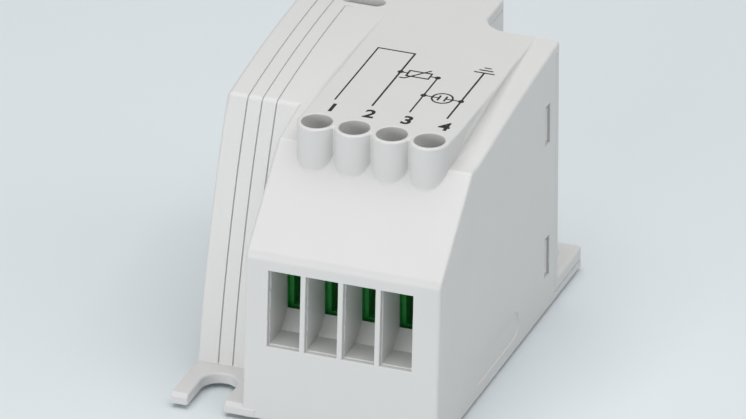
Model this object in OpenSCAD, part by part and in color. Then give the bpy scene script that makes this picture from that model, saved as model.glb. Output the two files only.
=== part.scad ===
// Surge protection module for a junction box or luminaire: a light grey snap-together
// housing with four wire ports, four screwdriver tubes and two mounting feet.
// Frame: X to the right, Y to the back, Z up, origin under the middle of the footprint.

/* [Housing] */
// Width over the side walls
body_w = 36.2; // [36:0.1:36.6]
// Length from the front of the nose to the back of the tail
body_l = 54.2; // [54:0.1:54.6]
// Height of the label plateau and of the tail
body_h = 37; // [36.8:0.1:37.4]
// Thickness of the side walls
wall = 1.6; // [1.4:0.1:1.8]
// Thickness of the floor
floor_t = 1; // [0.9:0.05:1.2]
// Thickness of the roof
roof_t = 1.5; // [1.4:0.1:1.8]
// Radius of the long arch of the roof, seen from the side
roof_r = 170; // [160:1:180]
// Radius of the flatter arch of the strip of roof right of the label plateau
strip_r = 345; // [330:1:360]
// Radius of the upright corners
corner_r = 1; // [0.6:0.1:1.4]

/* [Nose] */
// Left side of the nose
nose_x = -8.4; // [-8.6:0.1:-8.2]
// Height of the crease between the front face and the slanted face
crease_z = 22.7; // [22.4:0.1:23]
// Backward lean of the front face, per millimetre of height
front_lean = 0.065; // [0.05:0.005:0.08]
// Rise of the slanted face, per millimetre of depth
slant_rise = 0.923; // [0.9:0.001:0.95]

/* [Terminals] */
// Distance between neighbouring terminals
pitch = 5.08; // [5:0.01:5.1]
// Number of terminals
poles = 4; // [4:1:4]
// Middle of the terminal row
row_x = 4.59; // [4.5:0.01:4.7]
// Distance of the screw axes from the middle of the body, along Y
screw_y = -14.06; // [-14.2:0.01:-13.9]
// Bore of a screwdriver tube
tube_id = 4; // [3.9:0.1:4.1]
// Outer diameter of a screwdriver tube
tube_od = 5.14; // [5.1:0.02:5.3]
// How far the right side of the label plateau stands out past the last tube
plateau_side = 0.25; // [0.1:0.05:0.3]
// Width of a wire port
port_w = 4.35; // [4.25:0.05:4.4]
// Lower edge of the wire ports
port_z0 = 10.3; // [10.1:0.1:10.5]
// Upper edge of the wire ports
port_z1 = 20.8; // [20.6:0.1:21]

/* [Feet] */
// Thickness of the front foot
foot_t = 1.55; // [1.4:0.05:1.7]
// Height of the rear foot, both layers
rear_foot_h = 2.85; // [2.7:0.05:3]
// Width of the front foot's slot and of the rear foot's hole for the fixing screws
slot_w = 4.9; // [4.7:0.1:5]
// Distance of the slot's axis from the left side of the body
slot_inset = 4.7; // [4.6:0.1:4.8]
// Distance of the slot's round end from the front of the body
slot_depth = 4.75; // [4.6:0.05:4.9]
// Radius of the rear foot's corner
foot_r = 0.4; // [0.3:0.1:0.6]
// Distance of the hole's axis from the right side of the body
hole_inset = 4.6; // [4.5:0.1:4.7]
// Distance of the hole's axis from the back of the body
hole_depth = 3.8; // [3.7:0.1:4]

/* [Rear cover] */
// Left side of the notch behind the right chamber
notch_x = 7.2; // [7:0.1:7.4]
// Back face of the right chamber
notch_y = 18; // [17.8:0.1:18.2]
// Radius in the inner corner of the notch
notch_r = 3.5; // [3:0.1:4]
// Thickness of the cover's edge, as seen from the side
cover_t = 1.2; // [1.1:0.1:1.3]

/* [Surge parts] */
// Diameter of a coated varistor disc
varistor_d = 22; // [21:0.5:22]
// Thickness of a coated varistor disc
varistor_t = 4.6; // [4.2:0.1:5]
// Diameter of the gas discharge tube
gas_tube_d = 8; // [7.5:0.1:8]
// Length of the gas discharge tube, caps included
gas_tube_l = 6; // [5.6:0.1:6.2]
// Thickness of the circuit board
board_t = 1.6; // [1.5:0.1:1.6]
// Top of the circuit board above the base
board_z = 9; // [8.9:0.05:9.1]

/* [Hidden] */
$fn = 64;

right_x = body_w / 2;
left_x = -right_x;
back_y = body_l / 2;
front_y = -back_y;
crease_y = front_y + front_lean * crease_z;
roof_flat_y = 20.2;
over = 1;
gap = 0.1;
housing_grey = [0.85, 0.86, 0.86];
metal_grey = [0.75, 0.75, 0.72];
tinned = [0.8, 0.8, 0.78];

// The strip of roof right of the label plateau: it falls from the back edge and ends level over the slant
strip_fall = 0.08;
strip_centre = [notch_y + strip_fall * strip_r, body_h - strip_r * sqrt(1 - pow(strip_fall, 2))];
strip_x = pole_x(poles - 1) + tube_od / 2 + plateau_side;
strip_end_z = 33.3;

// The curved front of the left section: an arc from the foot up to the roof
left_arc_r = 145;
left_base = [-17.75, foot_t];
left_top = [-7, 34.35];
left_chord = left_top - left_base;
left_chord_l = norm(left_chord);
left_inward = [left_chord[1], -left_chord[0]] / left_chord_l;
left_arc_mid = (left_base + left_top) / 2;
left_arc_centre = left_arc_mid + left_inward * sqrt(pow(left_arc_r, 2) - pow(left_chord_l / 2, 2));

// Funnel behind each wire port
funnel_back_y = -19.2;
ramp_front_y = -21.9;
ramp_z = 12.5;

// Terminal block
block_x0 = row_x - poles * pitch / 2 - 0.55;
block_x1 = row_x + poles * pitch / 2 + 0.55;
block_y0 = -19;
block_y1 = -8.8;
block_z1 = 25.8;
tube_z0 = 26;
mouth_w = 4.2;
mouth_depth = 0.8;
throat_w = 3.1;
mouth_z1 = 17.3;
chamber_w = 4.2;
chamber_l = 3.9;
chamber_z0 = 11.4;
chamber_z1 = 21.3;
seat_r = 1.6;
head_bore_r = 2.3;

// Clamp screw and cage, at rest with the clamp open
head_r = 1.9;
head_z0 = 22.4;
head_z1 = 24;
shank_r = 1.45;
shank_z0 = 16.8;
drive_w = 0.6;
drive_depth = 0.9;
cage_w = 4;
cage_l = 3.6;
cage_z0 = 11.7;
cage_window_z0 = 12.6;
cage_window_z1 = 16.7;
cage_z1 = 18.1;
cage_wall = 0.5;
cage_bore_r = 1.5;
bar_w = 2.4;
bar_z0 = 15.8;
bar_t = 0.8;
bar_y0 = screw_y - 1.9;
leg_y = -10;
leg_w = 1;
leg_z0 = 5.6;

// Circuit board and the parts on it
board_x = 16.2;
board_y0 = -18.6;
board_y1 = 15.7;
board_left_y0 = -14.2;
board_z0 = board_z - board_t;
rail_w = 1;
rail_t = 1.1;
disc_y = 3.5;
disc_z = board_z + 1.4 + varistor_d / 2;
disc_x = [10.5, 3.5];
lead_r = 0.5;
lead_pitch = 10;
lead_offset = 1.2;
lead_z0 = 6;
gas_x = -3.1;
gas_y = -1;
gas_z = board_z + 0.3 + gas_tube_d / 2;
cap_t = 0.8;

// Thermal disconnector
pivot_y = 6;
pivot_z = 12.2;
pin_r = 1;
arm_bore_r = 1.05;
arm_x0 = -12;
arm_x1 = -9.2;
arm_t = 1.2;
arm_z1 = 26;
hub_r = 1.9;
ear_t = 1.2;
ear_gap = 0.2;
holder_y0 = -2.6;
holder_y1 = 9.4;
spring_z = 17.5;
spring_r = 1.9;
spring_wire = 0.5;
bead_t = 0.45;
tab_z = 22;
tab_t = 0.8;

// Snap hooks and the windows that they catch in
window_l = 1.8;
window_back = 3.3;
window_z = [4.9, 24];
window_h = 5.7;
hook_t = 1;
hook_h = 4.9;
barb = 1.5;
barb_l = 1.15;
latch_x = [-11.45, -7.85];
latch_y = 20.2;
latch_r = 1.15;
latch_gap = 0.15;
latch_barb = 0.45;

function pole_x(i) = row_x + (i - (poles - 1) / 2) * pitch;

// Stretches a side view, drawn as Y and Z, from one X to another
module along_x(x0, x1) {
    translate([x0, 0, 0])
        rotate([90, 0, 90])
            linear_extrude(x1 - x0)
                children();
}

// A box between two corners
module box(low, high) {
    translate(low)
        cube(high - low);
}

// A rod along X
module rod_x(x0, x1, y, z, r) {
    translate([x0, y, z])
        rotate([0, 90, 0])
            cylinder(h = x1 - x0, r = r);
}

// A rod along Y
module rod_y(y0, y1, x, z, r) {
    translate([x, y1, z])
        rotate([90, 0, 0])
            cylinder(h = y1 - y0, r = r);
}

// A flat outline with round corners
module round_rect(low, high, r) {
    translate([low[0] + r, low[1]])
        square([high[0] - low[0] - 2 * r, high[1] - low[1]]);
    translate([low[0], low[1] + r])
        square([high[0] - low[0], high[1] - low[1] - 2 * r]);
    for (x = [low[0] + r, high[0] - r], y = [low[1] + r, high[1] - r])
        translate([x, y])
            circle(r);
}

// Everything under the arched roof, seen from the side
module under_roof() {
    translate([roof_flat_y, body_h - roof_r])
        circle(roof_r, $fn = 180);
    translate([roof_flat_y, 0])
        square([body_l, body_h]);
}

// Everything under the lower strip of roof right of the label plateau, seen from the side
module under_strip() {
    intersection() {
        under_roof();
        union() {
            translate(strip_centre)
                circle(strip_r, $fn = 360);
            translate([front_y, 0])
                square([body_l, strip_end_z]);
        }
    }
}

// Side view of the nose and of the right chamber behind it, under the arch or under the lower strip
module nose_profile(low = false) {
    top = body_h + over;
    intersection() {
        polygon([
            [front_y, 0],
            [crease_y, crease_z],
            [crease_y + (top - crease_z) / slant_rise, top],
            [back_y, top],
            [back_y, 0]
        ]);
        if (low)
            under_strip();
        else
            under_roof();
    }
}

// Side view of the left section with its curved front
module left_profile() {
    intersection() {
        translate([left_base[0] - over, 0])
            square([back_y - left_base[0] + over, body_h + over]);
        translate(left_arc_centre)
            circle(left_arc_r, $fn = 180);
        under_roof();
    }
}

// Cavity behind the nose's faces, one wall thickness inside them
module nose_cavity_profile(low = false) {
    slant = [1, slant_rise] / norm([1, slant_rise]);
    intersection() {
        translate([wall, 0])
            nose_profile(low);
        translate([wall * slant[1], -wall * slant[0]])
            nose_profile(low);
        translate([0, -roof_t])
            nose_profile(low);
        translate([front_y, floor_t])
            square([2 * body_l, body_h]);
    }
}

// Cavity behind the curved front of the left section
module left_cavity_profile() {
    intersection() {
        translate([wall * 1.06, 0])
            left_profile();
        translate([0, -roof_t])
            left_profile();
        translate([front_y, floor_t])
            square([2 * body_l, body_h]);
    }
}

// Plan of the whole body behind the front faces, with the notch at the back right
module body_plan() {
    difference() {
        union() {
            round_rect([nose_x, front_y], [right_x, notch_y], corner_r);
            round_rect([left_x, left_base[0] - over], [notch_x, back_y], corner_r);
            translate([notch_x - over, notch_y - over])
                square(notch_r + over);
        }
        translate([notch_x + notch_r, notch_y + notch_r])
            circle(notch_r);
    }
}

// Plan of the rear cover's walls: a back plate for the tail, the tail's right wall and a
// back plate for the right chamber, with the round inner corner of the notch
module cover_plan() {
    intersection() {
        body_plan();
        union() {
            translate([left_x - over, back_y - cover_t])
                square([body_w, cover_t + over]);
            translate([notch_x - wall, notch_y - cover_t])
                square([wall, back_y]);
            translate([notch_x - wall, notch_y - cover_t])
                square([body_w, cover_t + notch_r]);
        }
    }
}

// Plan of the front foot, with its slot open to the front
module front_foot_plan() {
    difference() {
        translate([left_x, front_y])
            square([nose_x - left_x + over, left_base[0] - front_y + wall]);
        translate([left_x + slot_inset, front_y + slot_depth]) {
            circle(slot_w / 2);
            translate([-slot_w / 2, -body_l])
                square([slot_w, body_l]);
        }
    }
}

// Plan of the rear foot behind the notch, with its screw hole
module rear_foot_plan(y0) {
    difference() {
        intersection() {
            translate([notch_x - over, y0])
                square([right_x - notch_x + over, back_y - y0]);
            round_rect([left_x, front_y], [right_x, back_y], foot_r);
        }
        translate([right_x - hole_inset, back_y - hole_depth])
            circle(slot_w / 2);
    }
}

// One wire port: a straight floor that ends in a ramp up to the terminal
module wire_port(i) {
    along_x(pole_x(i) - port_w / 2, pole_x(i) + port_w / 2)
        polygon([
            [front_y - over, port_z0],
            [ramp_front_y, port_z0],
            [funnel_back_y - gap, ramp_z],
            [funnel_back_y + over, ramp_z],
            [funnel_back_y + over, port_z1],
            [front_y - over, port_z1]
        ]);
}

// One fine groove over the roof and down the front of the left section
module groove(x, y_end) {
    w = 0.3;
    depth = 0.25;
    intersection() {
        along_x(x - w / 2, x + w / 2)
            difference() {
                left_profile();
                translate([depth, -depth])
                    left_profile();
            }
        box([left_x, front_y, foot_t], [nose_x, y_end, body_h + over]);
    }
}

// Windows in one side wall, which the cover's hooks catch in
module hook_windows(x, y_back) {
    for (z = window_z)
        box([x - wall - over, y_back - window_l, z], [x + wall + over, y_back, z + window_h]);
}

// Plan of the long round-ended window in the tail's roof, which the top hook catches in
module latch_plan(r) {
    for (x = latch_x)
        translate([x, latch_y])
            circle(r);
    translate([latch_x[0], latch_y - r])
        square([latch_x[1] - latch_x[0], 2 * r]);
}

module latch_window() {
    translate([0, 0, body_h - roof_t - over])
        linear_extrude(roof_t + 2 * over)
            latch_plan(latch_r);
}

// Shallow plain oval low on the right wall
module side_oval() {
    depth = 0.2;
    z = 3.7;
    half_h = 1.9;
    for (y = [-11.1, 1.3])
        rod_x(right_x - depth, right_x + over, y, z, half_h);
    box([right_x - depth, -11.1, z - half_h], [right_x + over, 1.3, z + half_h]);
}

module housing_outside() {
    intersection() {
        union() {
            along_x(nose_x, strip_x - over)
                nose_profile();
            along_x(strip_x - 2 * over, right_x)
                nose_profile(low = true);
            along_x(left_x, nose_x + over)
                left_profile();
        }
        linear_extrude(body_h + over)
            body_plan();
    }
    intersection() {
        box(
            [pole_x(0) - tube_od / 2, screw_y, crease_z],
            [strip_x, roof_flat_y, body_h]
        );
        linear_extrude(body_h + over)
            body_plan();
    }
    linear_extrude(foot_t)
        front_foot_plan();
    linear_extrude(floor_t)
        rear_foot_plan(notch_y - over);
}

module housing_cavity() {
    along_x(nose_x + wall, strip_x - over - wall)
        nose_cavity_profile();
    along_x(strip_x - 2 * over - wall, right_x - wall)
        nose_cavity_profile(low = true);
    along_x(left_x + wall, nose_x + wall + over)
        left_cavity_profile();
}

// Everything that the rear cover fills or closes
module cover_opening() {
    translate([0, 0, floor_t])
        linear_extrude(body_h - roof_t - floor_t)
            difference() {
                translate([left_x - over, notch_y - cover_t])
                    square([body_w + 2 * over, body_l]);
                translate([left_x - over, 0])
                    square([wall + over, back_y - cover_t]);
            }
}

module housing() {
    color(housing_grey)
        difference() {
            union() {
                difference() {
                    housing_outside();
                    housing_cavity();
                    cover_opening();
                }
                intersection() {
                    box(
                        [nose_x + over, front_y, port_z0 - wall],
                        [right_x - over, funnel_back_y, port_z1 + wall]
                    );
                    along_x(nose_x, right_x)
                        nose_profile();
                }
                for (i = [0 : poles - 1])
                    translate([pole_x(i), screw_y, tube_z0])
                        cylinder(h = body_h - tube_z0, d = tube_od);
                board_rails();
            }
            for (i = [0 : poles - 1]) {
                wire_port(i);
                translate([pole_x(i), screw_y, tube_z0 - over])
                    cylinder(h = body_h, d = tube_id);
            }
            groove(-15.25, back_y + over);
            groove(-13.27, back_y + over);
            groove(-11.28, 17.95);
            hook_windows(right_x, notch_y - window_back);
            hook_windows(left_x, back_y - window_back);
            latch_window();
            side_oval();
        }
}

// Ledges over and under both long edges of the circuit board
module board_rails() {
    for (z = [board_z0 - gap - rail_t, board_z + gap]) {
        box([right_x - wall - rail_w, board_y0, z], [right_x - wall + over / 2, 10.6, z + rail_t]);
        box([left_x + wall - over / 2, -12.5, z], [left_x + wall + rail_w, 15, z + rail_t]);
    }
}

// A spring leg along a side wall, with a barb that sits in the wall's window
module side_hook(side, y_back) {
    for (z = window_z) {
        inner = right_x - wall - gap;
        z0 = z + (window_h - hook_h) / 2;
        y0 = y_back - window_back - window_l;
        mirror([side < 0 ? 1 : 0, 0, 0]) {
            box([inner - hook_t, y0, z0], [inner, y_back - cover_t / 2, z0 + hook_h]);
            along_z_wedge([inner - gap, y0 + gap], [barb + gap, barb_l], z0, hook_h);
        }
    }
}

// A barb seen from above: a slope at the front and a flat catching face at the back
module along_z_wedge(low, size, z0, h) {
    translate([low[0], low[1], z0])
        linear_extrude(h)
            polygon([[0, 0], [size[0], size[1] * 0.5], [size[0], size[1]], [0, size[1]]]);
}

// A spring leg under the tail's roof, with a barb that fills the long window. The barb's front is sloped.
module top_hook() {
    top = body_h - roof_t - gap;
    front_y = latch_y - latch_r;
    box([latch_x[0], front_y, top - hook_t], [latch_x[1], back_y - cover_t / 2, top]);
    intersection() {
        translate([0, 0, top - hook_t])
            linear_extrude(hook_t + latch_barb)
                latch_plan(latch_r - latch_gap);
        along_x(latch_x[0] - latch_r, latch_x[1] + latch_r)
            polygon([
                [front_y, top - hook_t],
                [front_y, top],
                [front_y + latch_r / 2, top + latch_barb],
                [latch_y + latch_r, top + latch_barb],
                [latch_y + latch_r, top - hook_t]
            ]);
    }
}

module rear_cover() {
    color(housing_grey) {
        translate([0, 0, floor_t])
            linear_extrude(body_h - roof_t - floor_t)
                cover_plan();
        translate([0, 0, floor_t])
            linear_extrude(rear_foot_h - floor_t)
                rear_foot_plan(notch_y - cover_t / 2);
        side_hook(1, notch_y);
        side_hook(-1, back_y);
        top_hook();
        box(
            [notch_x + over, board_y1 + gap, board_z0],
            [right_x - wall - 2 * over, notch_y - cover_t / 2, board_z]
        );
    }
}

// The moulded block that holds the four clamps
module terminal_block() {
    color([0.17, 0.6, 0.25])
        difference() {
            box([block_x0, block_y0, board_z], [block_x1, block_y1, block_z1]);
            for (i = [0 : poles - 1])
                translate([pole_x(i), screw_y, 0]) {
                    translate([0, 0, head_z0 - gap])
                        cylinder(h = block_z1, r = head_bore_r);
                    translate([0, 0, chamber_z1 - gap])
                        cylinder(h = head_z0 - chamber_z1, r = seat_r);
                    box(
                        [-chamber_w / 2, -chamber_l / 2, chamber_z0],
                        [chamber_w / 2, chamber_l / 2, chamber_z1]
                    );
                    wire_mouth();
                    translate([0, -screw_y, 0])
                        contact_bar(0.05);
                }
        }
}

// The wide mouth behind a port and the throat that leads a wire's end on into the cage
module wire_mouth() {
    y0 = block_y0 - screw_y;
    box([-mouth_w / 2, y0 - over, chamber_z0], [mouth_w / 2, y0 + mouth_depth, mouth_z1]);
    box([-throat_w / 2, y0, ramp_z - gap], [throat_w / 2, over - chamber_l / 2, mouth_z1]);
}

// A flat bar that lies inside the cage and turns down into a solder leg
module contact_bar(grow) {
    box(
        [-bar_w / 2 - grow, bar_y0 - grow, bar_z0 - grow],
        [bar_w / 2 + grow, leg_y + bar_t / 2 + grow, bar_z0 + bar_t + grow]
    );
    box(
        [-leg_w / 2 - grow, leg_y - bar_t / 2 - grow, leg_z0 - grow],
        [leg_w / 2 + grow, leg_y + bar_t / 2 + grow, bar_z0 + bar_t]
    );
}

module contact_bars() {
    color(tinned)
        for (i = [0 : poles - 1])
            translate([pole_x(i), 0, 0])
                contact_bar(0);
}

// A slotted screw that turns in place over its cage
module clamp_screw(i) {
    color(metal_grey)
        translate([pole_x(i), screw_y, 0])
            difference() {
                union() {
                    translate([0, 0, head_z0])
                        cylinder(h = head_z1 - head_z0, r = head_r);
                    translate([0, 0, shank_z0])
                        cylinder(h = head_z0 - shank_z0 + 0.2, r = shank_r);
                }
                box(
                    [-head_r - over, -drive_w / 2, head_z1 - drive_depth],
                    [head_r + over, drive_w / 2, head_z1 + over]
                );
            }
}

// A box-shaped nut that rises as its screw is tightened
module clamp_cage(i) {
    color(metal_grey)
        translate([pole_x(i), screw_y, 0])
            difference() {
                box([-cage_w / 2, -cage_l / 2, cage_z0], [cage_w / 2, cage_l / 2, cage_z1]);
                box(
                    [-cage_w / 2 + cage_wall, -cage_l, cage_window_z0],
                    [cage_w / 2 - cage_wall, cage_l, cage_window_z1]
                );
                translate([0, 0, cage_window_z1 - over])
                    cylinder(h = body_h, r = cage_bore_r);
            }
}

// Where each round lead passes through the board, as X and Y
function disc_leads() = [
    for (x = disc_x, side = [-1, 1])
        [x + side * lead_offset, disc_y + side * lead_pitch / 2]
];
function gas_leads() = [for (side = [-1, 1]) [gas_x, gas_y + side * (gas_tube_l / 2 + cap_t)]];

module circuit_board() {
    color([0.1, 0.4, 0.25])
        difference() {
            union() {
                box([nose_x + wall + gap, board_y0, board_z0], [board_x, board_y1, board_z]);
                box([-board_x, board_left_y0, board_z0], [nose_x + wall + over, board_y1, board_z]);
            }
            box([board_x - 1.4, 11.6, 0], [board_x + over, board_y1 + over, body_h]);
            for (i = [0 : poles - 1])
                translate([pole_x(i), 0, 0])
                    contact_bar(0.05);
            for (p = concat(disc_leads(), gas_leads()))
                translate([p[0], p[1], board_z0 - over])
                    cylinder(h = board_t + 2 * over, r = lead_r + 0.05);
        }
}

// A metal oxide disc in its dipped coating, standing on edge
module varistor(x) {
    rim = 0.9;
    color([0.15, 0.3, 0.6])
        translate([x - varistor_t / 2, disc_y, disc_z])
            rotate([0, 90, 0])
                rotate_extrude($fn = 96)
                    intersection() {
                        round_rect([-varistor_d / 2, 0], [varistor_d / 2, varistor_t], rim);
                        square([varistor_d, varistor_t]);
                    }
}

module varistor_1() varistor(disc_x[0]);
module varistor_2() varistor(disc_x[1]);

// Four tinned wires from the discs down through the board
module varistor_leads() {
    color(tinned)
        difference() {
            for (p = disc_leads())
                translate([p[0], p[1], lead_z0])
                    cylinder(h = disc_z - varistor_d / 2 - lead_z0 + 3, r = lead_r);
            varistor_1();
            varistor_2();
        }
}

// Ceramic ring of the gas discharge tube, lying along Y
module gas_tube() {
    color([0.9, 0.88, 0.82])
        rod_y(gas_y - gas_tube_l / 2 + cap_t, gas_y + gas_tube_l / 2 - cap_t, gas_x, gas_z, gas_tube_d / 2);
}

// Two electrode caps, each with a wire bent down into the board
module gas_tube_electrodes() {
    color(tinned)
        for (side = [-1, 1]) {
            y_in = gas_y + side * (gas_tube_l / 2 - cap_t);
            y_out = gas_y + side * gas_tube_l / 2;
            y_lead = gas_y + side * (gas_tube_l / 2 + cap_t);
            rod_y(min(y_in, y_out), max(y_in, y_out), gas_x, gas_z, gas_tube_d / 2 - 0.2);
            rod_y(min(y_in, y_lead), max(y_in, y_lead), gas_x, gas_z, lead_r);
            translate([gas_x, y_lead, gas_z])
                sphere(lead_r);
            translate([gas_x, y_lead, lead_z0])
                cylinder(h = gas_z - lead_z0, r = lead_r);
        }
}

// Copper strip from the inner disc's face to the disconnector
module varistor_tab() {
    color([0.8, 0.5, 0.3])
        box(
            [arm_x0, pivot_y - arm_t / 2 - bead_t - gap - 2.4, tab_z],
            [disc_x[1] - varistor_t / 2, pivot_y - arm_t / 2 - bead_t - gap, tab_z + tab_t]
        );
}

// Low-melting solder that holds the arm against the strip
module solder_bead() {
    color([0.7, 0.7, 0.72])
        intersection() {
            rod_x(arm_x0 + 0.2, arm_x1 - 0.2, pivot_y - arm_t / 2 - bead_t - gap, tab_z + tab_t / 2, 0.9);
            box(
                [arm_x0, pivot_y - arm_t / 2 - bead_t - gap, tab_z - over],
                [arm_x1, pivot_y - arm_t / 2 - gap / 2, tab_z + 2 * over]
            );
        }
}

// Bracket on the board with two ears for the pivot pin and a seat for the spring
module disconnector_holder() {
    x0 = arm_x0 - ear_gap - ear_t;
    x1 = arm_x1 + ear_gap + ear_t;
    foot = 0.8;
    seat_h = 11;
    color([0.2, 0.2, 0.22])
        difference() {
            union() {
                box([x0, holder_y0, board_z], [x1, holder_y1, board_z + foot]);
                box([x0, holder_y0, board_z], [x1, holder_y0 + ear_t, board_z + seat_h]);
                for (x = [x0, x1 - ear_t]) {
                    rod_x(x, x + ear_t, pivot_y, pivot_z, 2.4);
                    box([x, pivot_y - 2.4, board_z], [x + ear_t, pivot_y + 2.4, pivot_z]);
                }
            }
            rod_x(x0 - over, x1 + over, pivot_y, pivot_z, pin_r);
        }
}

// Lever that swings back and opens the circuit when the solder melts
module disconnector_arm() {
    color([0.8, 0.5, 0.3])
        difference() {
            union() {
                rod_x(arm_x0, arm_x1, pivot_y, pivot_z, hub_r);
                box([arm_x0, pivot_y - arm_t / 2, pivot_z], [arm_x1, pivot_y + arm_t / 2, arm_z1]);
            }
            rod_x(arm_x0 - over, arm_x1 + over, pivot_y, pivot_z, arm_bore_r);
        }
}

module disconnector_pin() {
    color(metal_grey)
        rod_x(arm_x0 - ear_gap - ear_t - 0.4, arm_x1 + ear_gap + ear_t + 0.4, pivot_y, pivot_z, pin_r);
}

// Sleeve of the compression spring between the bracket and the arm
module disconnector_spring() {
    x = (arm_x0 + arm_x1) / 2;
    y0 = holder_y0 + ear_t;
    y1 = pivot_y - arm_t / 2 - gap;
    color(metal_grey)
        difference() {
            rod_y(y0, y1, x, spring_z, spring_r);
            rod_y(y0 - over, y1 + over, x, spring_z, spring_r - spring_wire);
        }
}

// Solder cones round every lead under the board
module solder_joints() {
    h = 1;
    color([0.75, 0.75, 0.78]) {
        for (p = concat(disc_leads(), gas_leads()))
            translate([p[0], p[1], board_z0 - h])
                difference() {
                    cylinder(h = h, r1 = lead_r + 0.15, r2 = lead_r + 0.7);
                    translate([0, 0, -over])
                        cylinder(h = h + 2 * over, r = lead_r);
                }
        for (i = [0 : poles - 1])
            difference() {
                translate([pole_x(i), leg_y, board_z0 - h])
                    cylinder(h = h, r1 = leg_w / 2 + 0.3, r2 = leg_w / 2 + 0.8);
                translate([pole_x(i), 0, 0])
                    contact_bar(0);
            }
    }
}

housing();
rear_cover();
terminal_block();
clamp_screw(0);  // clamp_screw_1
clamp_screw(1);  // clamp_screw_2
clamp_screw(2);  // clamp_screw_3
clamp_screw(3);  // clamp_screw_4
clamp_cage(0);  // clamp_cage_1
clamp_cage(1);  // clamp_cage_2
clamp_cage(2);  // clamp_cage_3
clamp_cage(3);  // clamp_cage_4
contact_bars();
circuit_board();
varistor_1();
varistor_2();
varistor_leads();
gas_tube();
gas_tube_electrodes();
varistor_tab();
solder_bead();
disconnector_holder();
disconnector_arm();
disconnector_pin();
disconnector_spring();
solder_joints();
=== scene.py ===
import math

import bpy
import numpy as np
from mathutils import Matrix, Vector


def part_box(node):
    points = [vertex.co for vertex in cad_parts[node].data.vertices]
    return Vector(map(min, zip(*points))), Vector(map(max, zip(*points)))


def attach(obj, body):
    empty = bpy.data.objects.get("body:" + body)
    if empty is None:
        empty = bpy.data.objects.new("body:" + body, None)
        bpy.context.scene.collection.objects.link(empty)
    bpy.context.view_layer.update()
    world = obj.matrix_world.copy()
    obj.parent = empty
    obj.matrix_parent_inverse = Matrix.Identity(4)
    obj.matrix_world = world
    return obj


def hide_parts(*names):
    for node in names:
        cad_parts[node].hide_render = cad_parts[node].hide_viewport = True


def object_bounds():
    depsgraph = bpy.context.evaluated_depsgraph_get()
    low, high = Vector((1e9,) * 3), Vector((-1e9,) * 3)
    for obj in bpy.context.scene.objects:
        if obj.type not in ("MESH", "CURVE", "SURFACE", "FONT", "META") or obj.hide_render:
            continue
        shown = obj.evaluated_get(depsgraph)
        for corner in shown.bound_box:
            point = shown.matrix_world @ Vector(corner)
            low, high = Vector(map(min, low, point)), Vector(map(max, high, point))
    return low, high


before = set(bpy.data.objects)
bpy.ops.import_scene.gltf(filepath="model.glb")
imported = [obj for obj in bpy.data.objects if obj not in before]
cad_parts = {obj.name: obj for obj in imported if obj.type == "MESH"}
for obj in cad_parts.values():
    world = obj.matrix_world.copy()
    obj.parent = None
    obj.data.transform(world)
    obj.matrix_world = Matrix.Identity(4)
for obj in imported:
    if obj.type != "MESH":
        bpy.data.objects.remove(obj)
cad_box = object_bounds()


# Circuit board
# A 1.6 mm sheet of glass-fibre laminate that carries every part of the circuit. It is routed to shape,
# drilled, coated with green solder mask, and slides into the rails of the housing from behind.


def linear(colour):
    """Linear colour from an sRGB hex value such as "#d8dad9"."""
    parts = [int(colour[i : i + 2], 16) / 255 for i in (1, 3, 5)]
    return tuple(c / 12.92 if c <= 0.04045 else ((c + 0.055) / 1.055) ** 2.4 for c in parts) + (1,)


def per_mm(size):
    """Texture scale at which a pattern repeats every so many millimetres."""
    return 1000 / size


def feed(tree, node, inputs):
    """Fills a node's inputs with values or with other nodes' outputs."""
    for name, value in inputs.items():
        if isinstance(value, bpy.types.NodeSocket):
            tree.links.new(value, node.inputs[name])
        else:
            node.inputs[name].default_value = value


def add(tree, kind, inputs, **settings):
    """Adds a node, sets it up and feeds it."""
    node = tree.nodes.new("ShaderNode" + kind)
    for name, value in settings.items():
        setattr(node, name, value)
    feed(tree, node, inputs)
    return node


def new_finish(name):
    """A new material, its node tree, its shader, and the places on the object for patterns."""
    material = bpy.data.materials.new(name)
    material.use_nodes = True
    tree = material.node_tree
    place = add(tree, "TexCoord", {}).outputs["Object"]
    return material, tree, tree.nodes["Principled BSDF"], place


def two_tone(tree, place, size, dark, light):
    """A soft mottle between two close colours, with patches of a size in millimetres."""
    patches = add(tree, "TexNoise", {"Vector": place, "Scale": per_mm(size), "Detail": 3.0})
    tones = {"Factor": patches.outputs["Fac"], "A": linear(dark), "B": linear(light)}
    return add(tree, "Mix", tones, data_type="RGBA").outputs["Result"]


def eased(node, edge):
    """Joins a CAD node's faces and takes its edges down by a bevel in millimetres."""
    node.modifiers.new("joined", "WELD").merge_threshold = 1e-6
    bevel = node.modifiers.new("eased", "BEVEL")
    bevel.width = edge / 1000
    bevel.segments = 2
    bevel.limit_method = "ANGLE"
    bevel.angle_limit = math.radians(40)
    bevel.harden_normals = True


def dressed(node, material):
    """Gives a CAD node its finish in place of the one it came with."""
    node.data.materials.clear()
    node.data.materials.append(material)


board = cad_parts["circuit_board"]
eased(board, 0.08)
# Solder mask is a glossy film over copper tracks, which show as lighter, slightly raised lines.
laminate, tree, shader, place = new_finish("masked_glass_laminate")
track_w = 1.2
track_l = 16
track_gap = 0.12
tracks = add(
    tree,
    "TexBrick",
    {
        "Vector": place,
        "Scale": per_mm(1),
        "Brick Width": track_l,
        "Row Height": track_w,
        "Mortar Size": track_gap,
        "Color1": linear("#1d6b3a"),
        "Color2": linear("#237a43"),
        "Mortar": linear("#124a27"),
    },
    offset=0.35,
)
ridge = add(tree, "Bump", {"Height": tracks.outputs["Fac"], "Strength": 0.4, "Distance": 3.5e-5}, invert=True)
mask = {"Base Color": tracks.outputs["Color"], "Normal": ridge.outputs["Normal"]}
feed(tree, shader, mask | {"Roughness": 0.3, "IOR": 1.55})
dressed(board, laminate)


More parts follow.
